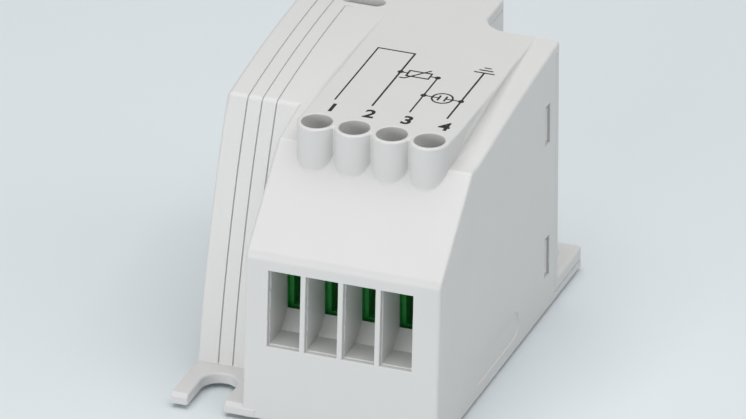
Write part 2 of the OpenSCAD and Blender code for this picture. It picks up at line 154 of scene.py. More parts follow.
# Terminal block
# A green block of moulded polyamide on the front of the board, with a chamber for each clamp.
# It comes from one mould with cores from the front and the top, and the bars' solder legs hold it down.


def corners(node):
    """Lowest and highest corner of a CAD node, in millimetres."""
    low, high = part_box(node)
    return np.array(low) * 1000, np.array(high) * 1000


def round_max(a, b, r):
    """Overlap of two distance fields, with the edge between them rounded to r."""
    return np.minimum(np.maximum(a, b), -r) + np.hypot(np.maximum(a + r, 0), np.maximum(b + r, 0))


def round_min(a, b, r):
    """Union of two distance fields, with a fillet of r in the corner between them."""
    return -round_max(-a, -b, r)


def slab(t, low, high):
    """Distance field of everything between two parallel planes."""
    return np.maximum(low - t, t - high)


def bar(x, y, z, low, high, r):
    """Distance field of a box between two corners, with edges rounded to r."""
    sides = round_max(slab(x, low[0], high[0]), slab(y, low[1], high[1]), r)
    return round_max(sides, slab(z, low[2], high[2]), r)


def stations(low, high, coarse, spots=()):
    """Grid places from low to high, closer together near each spot (place, reach, step)."""
    margin = 0.29
    growth = 0.4
    places = [low - margin]
    while places[-1] < high + margin:
        step = coarse
        for place, reach, fine in spots:
            step = min(step, fine + growth * max(abs(places[-1] - place) - reach, 0))
        places.append(places[-1] + step)
    return np.array(places)


def even(low, high, step):
    """Evenly spaced grid places round a box, one list for each axis."""
    return tuple(stations(a, b, step) for a, b in zip(low, high))


def slope(shape, points):
    """Distance and its gradient at each point."""
    step = 0.004
    x, y, z = points.T
    here = shape(x, y, z)
    ahead = (shape(x + step, y, z), shape(x, y + step, z), shape(x, y, z + step))
    return here, np.stack([(there - here) / step for there in ahead], 1)


def settled(shape, points):
    """Points moved along the gradient onto the surface."""
    here, gradient = slope(shape, points)
    return points - gradient * (here / np.maximum((gradient**2).sum(1), 0.2))[:, None]


def net(shape, places):
    """Points and quads on the surface of a distance field: one point for each grid cell that it crosses."""
    size = tuple(len(axis) for axis in places)
    grid = shape(places[0][:, None, None], places[1][None, :, None], places[2][None, None, :])
    field = np.broadcast_to(grid, size).astype(np.float32)
    inside = field < 0
    filled = inside.astype(np.uint8)
    filled = filled[:-1] + filled[1:]
    filled = filled[:, :-1] + filled[:, 1:]
    filled = filled[:, :, :-1] + filled[:, :, 1:]
    crossed = (filled > 0) & (filled < 8)
    cells = np.argwhere(crossed)
    number = np.full(crossed.shape, -1, np.int32)
    number[crossed] = np.arange(len(cells))
    low = np.stack([places[axis][cells[:, axis]] for axis in range(3)], 1)
    high = np.stack([places[axis][cells[:, axis] + 1] for axis in range(3)], 1)
    total = np.zeros(low.shape)
    hits = np.zeros((len(cells), 1))
    for axis in range(3):
        for side in ((0, 0), (0, 1), (1, 0), (1, 1)):
            offset = np.insert(side, axis, 0)
            start = cells + offset
            end = start.copy()
            end[:, axis] += 1
            a = field[tuple(start.T)]
            b = field[tuple(end.T)]
            cross = (a < 0) != (b < 0)
            point = np.where(offset, high, low)
            point[:, axis] += a / np.where(cross, a - b, 1) * (high - low)[:, axis]
            total += np.where(cross[:, None], point, 0)
            hits[:, 0] += cross
    points = total / hits
    for _ in range(2):
        points = np.clip(settled(shape, points), low, high)
    quads = []
    for axis in range(3):
        a, b = (axis + 1) % 3, (axis + 2) % 3
        first = np.take(inside, range(size[axis] - 1), axis)
        edges = np.argwhere(first != np.take(inside, range(1, size[axis]), axis))
        ring = []
        for da, db in ((1, 1), (0, 1), (0, 0), (1, 0)):
            cell = edges.copy()
            cell[:, a] -= da
            cell[:, b] -= db
            ring.append(number[tuple(cell.T)])
        ring = np.stack(ring, 1)
        inwards = ~first[tuple(edges.T)]
        ring[inwards] = ring[inwards][:, ::-1]
        quads.append(ring)
    return points, np.concatenate(quads)


def flatness(points, quads):
    """1 for each point whose faces lie in one plane, and 0 for the points of an edge or a curve."""
    nearly = math.cos(math.radians(0.8))
    across = points[quads[:, 2]] - points[quads[:, 0]]
    facing = np.cross(across, points[quads[:, 3]] - points[quads[:, 1]])
    facing /= np.maximum(np.linalg.norm(facing, axis=1), 1e-12)[:, None]
    mean = np.zeros(points.shape)
    for corner in quads.T:
        np.add.at(mean, corner, facing)
    mean /= np.maximum(np.linalg.norm(mean, axis=1), 1e-12)[:, None]
    worst = np.ones(len(points))
    for corner in quads.T:
        np.minimum.at(worst, corner, (facing * mean[corner]).sum(1))
    return worst > nearly


def smooth(mesh, shape):
    """Puts the points on the field, takes each corner's normal from it, and turns millimetres to metres."""
    crease = math.cos(math.radians(20))
    inset = 0.05
    points = np.zeros(len(mesh.vertices) * 3)
    mesh.vertices.foreach_get("co", points)
    points = points.reshape(-1, 3)
    for _ in range(3):
        points = settled(shape, points)
    points = np.clip(points, *np.array(cad_box) * 1000)
    normals = slope(shape, points)[1]
    normals /= np.linalg.norm(normals, axis=1)[:, None]
    corner = np.zeros(len(mesh.loops), np.int32)
    mesh.loops.foreach_get("vertex_index", corner)
    middle = points[corner.reshape(-1, 3)].mean(1).repeat(3, axis=0)
    away = middle - points[corner]
    away *= np.minimum(inset / np.maximum(np.linalg.norm(away, axis=1), 1e-9), 0.3)[:, None]
    own = slope(shape, points[corner] + away)[1]
    own /= np.linalg.norm(own, axis=1)[:, None]
    shared = (own * normals[corner]).sum(1) > crease
    own[shared] = normals[corner][shared]
    mesh.vertices.foreach_set("co", (points / 1000).ravel())
    mesh.polygons.foreach_set("use_smooth", np.ones(len(mesh.polygons), bool))
    mesh.normals_split_custom_set(own)
    mesh.update()


def placed(name, data):
    """A new object in the scene."""
    obj = bpy.data.objects.new(name, data)
    bpy.context.scene.collection.objects.link(obj)
    return obj


def solid(name, shape, places, material):
    """An object with the surface of a distance field in millimetres, thinned where it is flat."""
    points, quads = net(shape, places)
    level = flatness(points, quads)
    mesh = bpy.data.meshes.new(name)
    mesh.from_pydata(points, [], quads)
    obj = placed(name, mesh)
    flat = obj.vertex_groups.new(name="flat")
    flat.add(np.flatnonzero(level).tolist(), 1, "REPLACE")
    thin = obj.modifiers.new("thin", "DECIMATE")
    thin.ratio = 1 - 0.95 * level.mean()
    thin.vertex_group = "flat"
    thin.vertex_group_factor = 1
    thin.use_collapse_triangulate = True
    obj.data = bpy.data.meshes.new_from_object(obj.evaluated_get(bpy.context.evaluated_depsgraph_get()))
    obj.modifiers.clear()
    obj.vertex_groups.clear()
    smooth(obj.data, shape)
    obj.data.materials.append(material)
    return obj


def stands_for(obj, node, body):
    """Lets an object take a CAD node's place on that node's body, with the node itself hidden."""
    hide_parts(node)
    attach(obj, body)


def grained(tree, shader, place, size, detail, strength, depth):
    """Gives a shader the relief of a fine grain and returns the grain. Size and depth are in millimetres."""
    grain = add(tree, "TexNoise", {"Vector": place, "Scale": per_mm(size), "Detail": detail}).outputs["Fac"]
    bump = add(tree, "Bump", {"Height": grain, "Strength": strength, "Distance": depth / 1000})
    feed(tree, shader, {"Normal": bump.outputs["Normal"]})
    return grain


def moulded_plastic(name, dark, light, roughness, ior):
    """Moulded thermoplastic: an even colour with a faint mottle, and the fine grain of an eroded mould."""
    # Real mould grain is finer. This is as coarse as it needs to be to show.
    grain_mm = 0.12
    patch_mm = 6
    uneven = 0.06
    material, tree, shader, place = new_finish(name)
    grain = grained(tree, shader, place, grain_mm, detail=2.0, strength=0.12, depth=0.02)
    worn = add(tree, "MapRange", {"Value": grain, "To Min": roughness - uneven, "To Max": roughness + uneven})
    tone = two_tone(tree, place, patch_mm, dark, light)
    feed(tree, shader, {"Base Color": tone, "Roughness": worn.outputs["Result"], "IOR": ior})
    return material


poles = 4
screw_low, screw_high = corners("clamp_screw_1")
pole_x, screw_y = ((screw_low + screw_high) / 2)[:2]
pitch = corners("clamp_screw_2")[0][0] - screw_low[0]
pole_xs = [pole_x + pitch * i for i in range(poles)]
block_low, block_high = corners("terminal_block")
cage_low, cage_high = corners("clamp_cage_1")
bars_low, bars_high = corners("contact_bars")
cage_rise = 3.0
head_t = 1.6
bar_t = 0.8
bar_half_w = 1.2
leg_half_w = 0.5
play = 0.05
well_r = 2.3
seat_r = 1.6
chamber_half = np.array([2.1, 1.95])
chamber_z = (11.4, 21.3)
mouth_depth = 0.8
mouth_top = 17.3
throat_half_w = 1.55
throat_floor = 12.4


def from_pole(x):
    """Distance from the nearest terminal's axis, along X."""
    pole = np.clip(np.round((x - pole_x) / pitch), 0, poles - 1)
    return np.abs(x - pole_x - pole * pitch)


def terminal_block_shape(x, y, z):
    u = from_pole(x)
    v = y - screw_y
    axis = np.hypot(u, v)
    well = np.maximum(axis - well_r, screw_high[2] - head_t - 2 * play - z)
    seat = np.maximum(axis - seat_r, cage_high[2] + cage_rise - z)
    chamber = np.maximum(np.maximum(u - chamber_half[0], np.abs(v) - chamber_half[1]), slab(z, *chamber_z))
    mouth = np.maximum(u - chamber_half[0], y - block_low[1] - mouth_depth)
    mouth = np.maximum(mouth, slab(z, chamber_z[0], mouth_top))
    throat = np.maximum(np.maximum(u - throat_half_w, v), slab(z, throat_floor, mouth_top))
    rest = np.maximum(u - bar_half_w, slab(y, bars_low[1], bars_high[1]))
    rest = np.maximum(rest, slab(z, bars_high[2] - bar_t, bars_high[2]))
    leg = np.maximum(u - leg_half_w, slab(y, bars_high[1] - bar_t, bars_high[1]))
    leg = np.maximum(leg, z - bars_high[2])
    hollow = np.minimum(np.minimum(np.minimum(well, seat), chamber), np.minimum(mouth, throat))
    hollow = np.minimum(hollow, np.minimum(rest, leg) - play)
    return round_max(bar(x, y, z, block_low, block_high, 0.25), -hollow, 0.1)


# Polyamide takes a satin, slightly oily gloss from the mould.
green_polyamide = moulded_plastic("moulded_green_polyamide", "#269040", "#2c9a46", 0.42, 1.53)
block = solid(
    "terminal_block_body",
    terminal_block_shape,
    (
        stations(
            block_low[0],
            block_high[0],
            0.6,
            [(x + side * throat_half_w, 0.2, 0.1) for x in pole_xs for side in (-1, 1)]
            + [(x + side * chamber_half[0], 0.2, 0.1) for x in pole_xs for side in (-1, 1)],
        ),
        stations(
            block_low[1],
            block_high[1],
            0.5,
            [(block_low[1] + mouth_depth / 2, 0.6, 0.1), (bars_low[1], 0.2, 0.15), (screw_y, 2.4, 0.25)],
        ),
        stations(
            block_low[2],
            block_high[2],
            0.5,
            [(chamber_z[0] + 0.6, 0.8, 0.15), (mouth_top, 0.2, 0.12), (chamber_z[1] + 0.5, 0.7, 0.2)]
            + [(block_high[2] - 0.1, 0.3, 0.12)],
        ),
    ),
    green_polyamide,
)
stands_for(block, "terminal_block", "base")


# Contact bars
# Four bars of tinned copper, each bent down at the back into a solder leg. The wire is clamped against
# the flat end inside the cage. They are stamped from strip, so the edges are slightly rounded.


def plated_metal(name, dark, light, roughness, grain_mm):
    """Sheet or wire with a thin plating: soft reflections, and fine lines from drawing and rolling."""
    patch_mm = 1.5
    uneven = 0.1
    stretch = (1, 1, 0.08)
    material, tree, shader, place = new_finish(name)
    along = add(tree, "Mapping", {"Vector": place, "Scale": stretch}).outputs["Vector"]
    lines = grained(tree, shader, along, grain_mm, detail=2.0, strength=0.1, depth=0.01)
    worn = add(tree, "MapRange", {"Value": lines, "To Min": roughness - uneven, "To Max": roughness + uneven})
    tone = two_tone(tree, place, patch_mm, dark, light)
    feed(tree, shader, {"Base Color": tone, "Roughness": worn.outputs["Result"], "Metallic": 1})
    return material


# Tin plating is a pale, slightly warm white metal with soft reflections.
tinned_copper = plated_metal("tinned_copper", "#bdbcb6", "#d3d2cc", 0.32, 0.1)
eased(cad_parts["contact_bars"], 0.12)
dressed(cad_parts["contact_bars"], tinned_copper)


# Clamp cages
# Four box nuts bent from nickel-plated steel strip. The wire goes through the window, and the screw in
# the threaded top pulls the cage up until its floor presses the wire against the bar.
thread_lead = 0.5
cage_wall = 0.5
cage_floor = 0.9
cage_top = 1.4
nut_crest_r = 1.65
nut_thread = 0.15
nut_reach = 2


def thread(x, y, z, crest, depth):
    """Distance field inside a right-hand thread round a vertical axis, scaled down for its steep flanks."""
    scale = 0.75
    phase = z / thread_lead - np.arctan2(y, x) / (2 * math.pi)
    ramp = np.abs(2 * (phase - np.floor(phase)) - 1)
    return (np.hypot(x, y) - crest + depth * ramp) * scale


def clamp_cage_shape(x, y, z):
    u = x - pole_x
    v = y - screw_y
    half = (cage_high - cage_low)[:2] / 2
    outside = round_max(np.abs(u) - half[0], slab(z, cage_low[2], cage_high[2]), 0.5)
    outside = round_max(outside, np.abs(v) - half[1], 0.12)
    window = slab(z, cage_low[2] + cage_floor, cage_high[2] - cage_top)
    window = round_max(np.abs(u) - half[0] + cage_wall, window, 0.3)
    nut = np.maximum(thread(u, v, z, nut_crest_r, nut_thread), cage_high[2] - nut_reach - z)
    return round_max(outside, -np.minimum(window, nut), 0.08)


# Nickel over steel is a hard, bright, slightly yellow grey.
nickelled_steel = plated_metal("nickel_plated_steel", "#a8a49a", "#c4c0b6", 0.3, 0.08)
cage = solid("cage_1", clamp_cage_shape, even(cage_low, cage_high, 0.1), nickelled_steel)


def row_of(first, name):
    """Copies of a piece at every terminal, each an object of its own."""
    row = [first]
    for i in range(1, poles):
        copy = placed(f"{name}_{i + 1}", first.data)
        copy.location.x = pitch * i / 1000
        row.append(copy)
    return row


for i, piece in enumerate(row_of(cage, "cage"), 1):
    stands_for(piece, f"clamp_cage_{i}", f"cage_{i}")


# Clamp screws
# Four slotted M3 screws of nickel-plated steel. Each sits in its well under a screwdriver tube and turns
# in place, so its thread lifts the cage. They are cold headed, slotted and thread rolled.
head_r = 1.9
shank_r = 1.45
shank_thread = 0.22
tip_r = 1.05
drive_w = 0.6
drive_depth = 0.9


def clamp_screw_shape(x, y, z):
    u = x - pole_x
    v = y - screw_y
    axis = np.hypot(u, v)
    head_z = screw_high[2] - head_t
    head = round_max(axis - head_r, slab(z, head_z, screw_high[2]), 0.25)
    shank = thread(u, v, z, shank_r, shank_thread)
    shank = np.maximum(shank, slab(z, screw_low[2], head_z + 0.2))
    tip = (axis - tip_r - (z - screw_low[2])) * math.sqrt(0.5)
    screw = np.minimum(head, np.maximum(shank, tip))
    drive = np.maximum(np.abs(v) - drive_w / 2, screw_high[2] - drive_depth - z)
    return round_max(screw, -drive, 0.06)


screw = solid("screw_1", clamp_screw_shape, even(screw_low, screw_high, 0.08), nickelled_steel)
for i, piece in enumerate(row_of(screw, "screw"), 1):
    stands_for(piece, f"clamp_screw_{i}", f"screw_{i}")


# Varistors
# Two metal oxide discs on edge, dipped in blue epoxy. The dip leaves a soft rim, follows the wires on
# both faces as low ridges, and runs a little way down the leads.
disc_low, disc_high = corners("varistor_1")
disc_mid = (disc_low + disc_high) / 2
disc_r = (disc_high - disc_low)[1] / 2
disc_half_t = (disc_high - disc_low)[0] / 2
lead_r = 0.5
lead_side = np.array([1.2, 5.0])
coat_r = 0.75
coat_run = 0.9
ridge_r = 0.7
ridge_sunk = 0.4
ridge_foot_z = 2
ridge_end = np.array([2, 3])


def capsule(x, y, z, start, end, r):
    """Distance field of a round rod with round ends."""
    along = end - start
    px, py, pz = x - start[0], y - start[1], z - start[2]
    t = np.clip((px * along[0] + py * along[1] + pz * along[2]) / along.dot(along), 0, 1)
    return np.sqrt((px - t * along[0]) ** 2 + (py - t * along[1]) ** 2 + (pz - t * along[2]) ** 2) - r


def varistor_shape(x, y, z):
    rim = np.hypot(y - disc_mid[1], z - disc_mid[2]) - disc_r
    disc = round_max(rim, np.abs(x - disc_mid[0]) - disc_half_t, 0.9)
    for side in (-1, 1):
        foot = disc_mid + side * np.array([lead_side[0], lead_side[1], 0])
        exit_z = disc_mid[2] - math.sqrt(disc_r**2 - lead_side[1] ** 2)
        bend = np.array([disc_mid[0] + side * (disc_half_t - ridge_sunk), foot[1], exit_z + ridge_foot_z])
        top = np.array([bend[0], disc_mid[1] + side * ridge_end[0], disc_mid[2] + ridge_end[1]])
        run = capsule(x, y, z, np.array([foot[0], foot[1], exit_z - coat_run]), bend, coat_r)
        disc = round_min(disc, np.minimum(run, capsule(x, y, z, bend, top, ridge_r)), 0.5)
    return disc


# Dipped epoxy is glossy, with a faint orange-peel.
epoxy, tree, shader, place = new_finish("dipped_blue_epoxy")
thick_mm = 4
peel_mm = 0.8
blue = two_tone(tree, place, thick_mm, "#1d3f86", "#24509e")
grained(tree, shader, place, peel_mm, detail=1.0, strength=0.15, depth=0.06)
feed(tree, shader, {"Base Color": blue, "Roughness": 0.25, "IOR": 1.55})
disc_1 = solid("varistor_disc_1", varistor_shape, even(disc_low - [0.5, 0, 1], disc_high, 0.35), epoxy)
disc_2 = placed("varistor_disc_2", disc_1.data)
disc_2.location.x = (corners("varistor_2")[0][0] - disc_low[0]) / 1000
stands_for(disc_1, "varistor_1", "base")
stands_for(disc_2, "varistor_2", "base")


# Varistor leads
# Four tinned copper wires, 1 mm thick, that are soldered to the discs before the dip and go through
# the board, where they are cut and soldered.
eased(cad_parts["varistor_leads"], 0.1)
dressed(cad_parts["varistor_leads"], tinned_copper)


# Gas discharge tube
# A ring of alumina between two electrode caps, filled with gas. The ring is pressed, fired and left
# unglazed, with a thin metal band near each end where the caps are brazed on.
tube_low, tube_high = corners("gas_tube")
tube_mid = (tube_low + tube_high) / 2
gas_tube_r = (tube_high - tube_low)[0] / 2
band_off = 1.5
band_w = 0.3
band_depth = 0.12


def gas_tube_shape(x, y, z):
    axis = np.hypot(x - tube_mid[0], z - tube_mid[2])
    ring = round_max(axis - gas_tube_r, slab(y, tube_low[1], tube_high[1]), 0.25)
    band = np.abs(np.abs(y - tube_mid[1]) - band_off) - band_w / 2
    return round_max(ring, -np.maximum(band, gas_tube_r - band_depth - axis), 0.08)


# Fired alumina is a dead white ceramic with a fine, even grit.
alumina, tree, shader, place = new_finish("fired_alumina")
cloud_mm = 1.2
grit_mm = 0.1
white = two_tone(tree, place, cloud_mm, "#d9d4c6", "#ebe7dc")
grained(tree, shader, place, grit_mm, detail=2.0, strength=0.2, depth=0.02)
feed(tree, shader, {"Base Color": white, "Roughness": 0.7, "IOR": 1.76})
ring = solid("gas_tube_ring", gas_tube_shape, even(tube_low, tube_high, 0.18), alumina)
stands_for(ring, "gas_tube", "base")
eased(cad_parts["gas_tube_electrodes"], 0.12)
dressed(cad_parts["gas_tube_electrodes"], tinned_copper)


# Disconnector strip and solder
# A copper strip brings the current from the inner disc to the arm. A bead of low-melting solder joins
# the two, and lets go when the disc overheats.

# Rolled copper is warm and slightly dull from handling.
rolled_copper = plated_metal("rolled_copper", "#a8613d", "#c47a52", 0.35, 0.1)
eased(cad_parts["varistor_tab"], 0.15)
dressed(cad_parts["varistor_tab"], rolled_copper)

bead_low, bead_high = corners("solder_bead")
bead_mid = (bead_low + bead_high) / 2
bead_half = (bead_high - bead_low) / 2
bead_waist = 0.2
bead_flat = 0.3


def solder_bead_shape(x, y, z):
    waist = bead_waist * (1 - ((y - bead_mid[1]) / bead_half[1]) ** 2)
    ends = np.maximum(np.abs(x - bead_mid[0]) - bead_flat, 0) / (bead_half[0] - bead_flat)
    lying = np.hypot((z - bead_mid[2]) / bead_half[2], ends)
    return round_max((lying - 1) * bead_half[2] * 0.8 + waist, np.abs(y - bead_mid[1]) - bead_half[1], 0.04)


# Solder is bright and smooth where it froze, with a slight grey bloom.
soft_solder = plated_metal("soft_solder", "#a3a5a8", "#c2c4c7", 0.25, 0.25)
bead = solid("solder_drop", solder_bead_shape, even(bead_low, bead_high, 0.06), soft_solder)
stands_for(bead, "solder_bead", "base")


# Disconnector bracket
# A black bracket of moulded polyamide that is glued and pinned to the board. Two ears carry the pin,
# and an upright wall is the seat of the spring.
holder_low, holder_high = corners("disconnector_holder")
pin_low, pin_high = corners("disconnector_pin")
arm_low, arm_high = corners("disconnector_arm")
pin_mid = (pin_low + pin_high) / 2
pin_r = (pin_high - pin_low)[1] / 2
ear_t = 1.2
ear_r = 2.4
plate_t = 0.8


def disconnector_holder_shape(x, y, z):
    plate = bar(x, y, z, holder_low, [holder_high[0], holder_high[1], holder_low[2] + plate_t], 0.15)
    seat = bar(x, y, z, holder_low, [holder_high[0], holder_low[1] + ear_t, holder_high[2]], 0.2)
    around = np.hypot(y - pin_mid[1], np.maximum(z - pin_mid[2], 0)) - ear_r
    between = np.abs(x - pin_mid[0]) - (holder_high - holder_low)[0] / 2
    ears = round_max(round_max(around, between, 0.2), -(between + ear_t), 0.2)
    ears = np.maximum(ears, holder_low[2] - z)
    bracket = np.maximum(round_min(round_min(plate, seat, 0.5), ears, 0.4), holder_low[2] - z)
    return round_max(bracket, pin_r - np.hypot(y - pin_mid[1], z - pin_mid[2]), 0.1)


# The same polyamide, dyed black: dark and satin, with pale edges where the light grazes.
black_polyamide = moulded_plastic("moulded_black_polyamide", "#17181a", "#1e1f21", 0.45, 1.53)
holder_places = even(holder_low, holder_high, 0.2)
holder = solid("disconnector_bracket", disconnector_holder_shape, holder_places, black_polyamide)
stands_for(holder, "disconnector_holder", "base")


# Disconnector pin
# A turned pin of nickel-plated steel, pressed through both ears of the bracket. Its ends are chamfered
# to start it in the holes, and the arm's hub turns on its middle.
pin_chamfer = 0.25


def disconnector_pin_shape(x, y, z):
    rod = np.hypot(y - pin_mid[1], z - pin_mid[2]) - pin_r
    ends = slab(x, pin_low[0], pin_high[0])
    return np.maximum(round_max(rod, ends, 0.05), (rod + ends + pin_chamfer) * math.sqrt(0.5))


pin = solid("disconnector_pivot", disconnector_pin_shape, even(pin_low, pin_high, 0.12), nickelled_steel)
stands_for(pin, "disconnector_pin", "base")


# Disconnector arm
# A copper lever with a rolled hub on the pin. The spring pushes it back as soon as the solder melts,
# and the gap that opens at its tip breaks the circuit.
blade_t = 1.2
hub_r = 1.9


def disconnector_arm_shape(x, y, z):
    axis = np.hypot(y - pin_mid[1], z - pin_mid[2])
    blade = round_max(np.abs(y - pin_mid[1]) - blade_t / 2, slab(z, pin_mid[2], arm_high[2]), 0.3)
    lever = round_max(round_min(axis - hub_r, blade, 0.8), slab(x, arm_low[0], arm_high[0]), 0.15)
    return round_max(lever, pin_r + play - axis, 0.08)


arm = solid("disconnector_lever", disconnector_arm_shape, even(arm_low, arm_high, 0.16), rolled_copper)
stands_for(arm, "disconnector_arm", "disconnector")


# Disconnector spring
# A compression spring of nickel-plated spring steel wire between the bracket's wall and the arm.
# It is wound in seven turns, and its ends are ground flat.
spring_low, spring_high = corners("disconnector_spring")
spring_mid = (spring_low + spring_high) / 2
wire_r = 0.25
coil_r = (spring_high - spring_low)[0] / 2 - wire_r
turns = 7


def disconnector_spring_shape(x, y, z):
    lead = (spring_high - spring_low)[1] / turns
    dx = x - spring_mid[0]
    dz = z - spring_mid[2]
    phase = (y - spring_low[1]) / lead - np.arctan2(dz, dx) / (2 * math.pi)
    along = (phase - np.round(phase)) * lead
    wire = np.hypot(np.hypot(dx, dz) - coil_r, along) - wire_r
    return np.maximum(wire * 0.95, slab(y, spring_low[1], spring_high[1]))


spring_places = even(spring_low, spring_high, 0.09)
spring = solid("disconnector_coil", disconnector_spring_shape, spring_places, nickelled_steel)
stands_for(spring, "disconnector_spring", "base")


# Solder joints
# Ten joints under the board, where the leads and the bars' legs come through. Each is a cone of solder
# that climbs the lead in a hollow curve.
joint_low, joint_high = corners("solder_joints")
board_low, board_high = corners("circuit_board")
wire_low, wire_high = corners("gas_tube_electrodes")
disc_xs = (disc_mid[0], disc_mid[0] + disc_2.location.x * 1000)
joints = [(x + side * lead_side[0], disc_mid[1] + side * lead_side[1]) for x in disc_xs for side in (-1, 1)]
joints += [(tube_mid[0], wire_low[1] + lead_r), (tube_mid[0], wire_high[1] - lead_r)]
legs = [(x, bars_high[1] - bar_t / 2) for x in pole_xs]
joint_neck = 0.08
joint_spread = 0.6


def solder_joint_shape(x, y, z):
    rise = np.clip((z - joint_low[2]) / (joint_high[2] - joint_low[2]), 0, 1)
    flare = joint_neck + joint_spread * rise**2.5
    from_lead = np.full(np.broadcast(x, y).shape, 99.0)
    for lead_x, lead_y in joints:
        from_lead = np.minimum(from_lead, np.hypot(x - lead_x, y - lead_y) - lead_r)
    for leg_x, leg_y in legs:
        off_x = np.maximum(np.abs(x - leg_x) - leg_half_w, 0)
        off_y = np.maximum(np.abs(y - leg_y) - bar_t / 2, 0)
        from_lead = np.minimum(from_lead, np.hypot(off_x, off_y))
    cone = np.maximum((from_lead - flare) * 0.7, slab(z, joint_low[2], joint_high[2]))
    return np.maximum(cone, -0.02 - from_lead)


near_leads = [(p, 0.9, 0.12) for p in sorted({round(x, 3) for x, _ in joints + legs})]
near_rows = [(p, 0.9, 0.12) for p in sorted({round(y, 3) for _, y in joints + legs})]
joint_places = (
    stations(joint_low[0], joint_high[0], 1.5, near_leads),
    stations(joint_low[1], joint_high[1], 1.5, near_rows),
    stations(joint_low[2], joint_high[2], 0.12),
)
cones = solid("solder_cones", solder_joint_shape, joint_places, soft_solder)
stands_for(cones, "solder_joints", "base")


# Housing
# The light grey shell of moulded polycarbonate with the sloped nose, the wire ports, the screwdriver
# tubes and the front foot. It is moulded in one shot and is open only at the back.
shell_high = corners("housing")[1]
cover_low, cover_high = corners("rear_cover")
right_x = shell_high[0]
back_y = shell_high[1]
ink_t = 0.015
top_z = shell_high[2] - ink_t
wall = 1.6
floor_t = cover_low[2]
roof_t = 1.5
roof_r = 170.0
roof_flat_y = 20.2
edge_r = 0.4
nose_x = -8.4
crease_z = 22.7
front_lean = 0.065
slant_rise = 0.923
crease_y = -back_y + front_lean * crease_z
notch_x = 7.2
notch_y = 18.0
notch_r = 3.5
cover_t = 1.2
seam_z = shell_high[2] - roof_t
seam_r = 0.08
fit = 0.1
row_x = pole_x + pitch * (poles - 1) / 2
bore_r = 2.0
tube_r = 2.57
tube_z0 = 26.0
row_half = pitch * (poles - 1) / 2 + tube_r
plateau_side = 0.25
strip_x = row_x + row_half + plateau_side
strip_r = 345.0
strip_fall = 0.08
strip_centre = np.array([notch_y + strip_fall * strip_r, top_z - strip_r * math.sqrt(1 - strip_fall**2)])
strip_end_z = 33.3
port_w = 4.35
port_z0 = 10.3
port_z1 = 20.8
mouth_t = 0.7
mouth_step = 0.12
funnel_back_y = -19.2
ramp_front_y = -21.9
ramp_back_y = -19.3
ramp_z = 12.5
foot_t = 1.55
slot_r = 2.45
slot_inset = 4.7
slot_depth = 4.75
hole_mid = np.array([13.5, 23.3])
window_half = np.array([0.9, 2.85])
window_z = (7.75, 26.85)
side_windows = ((1, 13.8), (-1, 22.9))
latch_mid = np.array([-9.65, 20.2])
latch_half = np.array([2.95, 1.15])
oval_mid = np.array([-4.9, 3.7])
oval_half = np.array([8.1, 1.9])
groove_xs = (-15.25, -13.27, -11.28)
groove_half_w = 0.11
groove_depth = 0.35
groove_end_y = 17.95
groove_turn = 1.3

# The curved front of the left section: an arc from the foot up to the roof
arc_r = 145.0
arc_base = np.array([-17.75, foot_t])
arc_top = np.array([-7.0, 34.35])
arc_half = np.hypot(*(arc_top - arc_base)) / 2
arc_inward = np.array([arc_top[1] - arc_base[1], arc_base[0] - arc_top[0]]) / (2 * arc_half)
arc_centre = (arc_base + arc_top) / 2 + arc_inward * math.sqrt(arc_r**2 - arc_half**2)


def roof(y, z):
    return np.hypot(np.maximum(roof_flat_y - y, 0), z - top_z + roof_r) - roof_r


def nose_roof(x, y, z):
    """The arch, and right of the plateau a lower strip that ends level over the slant."""
    soft = 0.2
    tuck = 0.5
    arch = np.hypot(y - strip_centre[0], z - strip_centre[1]) - strip_r
    level = z - strip_end_z
    strip = np.minimum(arch, level) - soft / 4 * np.maximum(1 - np.abs(arch - level) / soft, 0) ** 2
    return np.maximum(roof(y, z), np.minimum(strip, x - strip_x + tuck))


def nose_front(y, z):
    return (front_lean * z - back_y - y) / math.hypot(1, front_lean)


def nose_slant(y, z):
    return (z - crease_z - slant_rise * (y - crease_y)) / math.hypot(1, slant_rise)


def left_front(y, z):
    return np.hypot(y - arc_centre[0], z - arc_centre[1]) - arc_r


def left_side(y, z):
    return round_max(left_front(y, z), roof(y, z), 0.45)


def long_round(a, b, middle, half):
    """Distance field of a flat shape with half-round ends."""
    return np.hypot(np.maximum(np.abs(a - middle[0]) - half[0] + half[1], 0), b - middle[1]) - half[1]


def groove_cut(x, y):
    """Depth of the three fine grooves up the left section. The last one ends in a short fading turn."""
    lines = np.minimum(np.abs(x - groove_xs[0]), np.abs(x - groove_xs[1]))
    lines = np.minimum(lines, np.hypot(x - groove_xs[2], np.maximum(y - groove_end_y, 0)))
    t = np.clip((x - groove_xs[2]) / groove_turn, 0, 1)
    turn = np.hypot(x - groove_xs[2] - t * groove_turn, y - groove_end_y)
    lines = 1 + np.cos(math.pi * np.minimum(lines / groove_half_w, 1))
    turn = (1 + np.cos(math.pi * np.minimum(turn / groove_half_w, 1))) * (1 - t)
    return groove_depth / 2 * np.maximum(lines, turn)


def oval_cut(y, z):
    """Depth of the plain oval that is sunk into the right wall."""
    depth = 0.2
    return depth * np.clip(0.5 - long_round(y, z, oval_mid, oval_half) / depth, 0, 1)


def notch_side(x, y):
    """Distance field of the plan left of and in front of the notch, with its hollow corner."""
    return -round_max(notch_x - x, notch_y - y, notch_r)


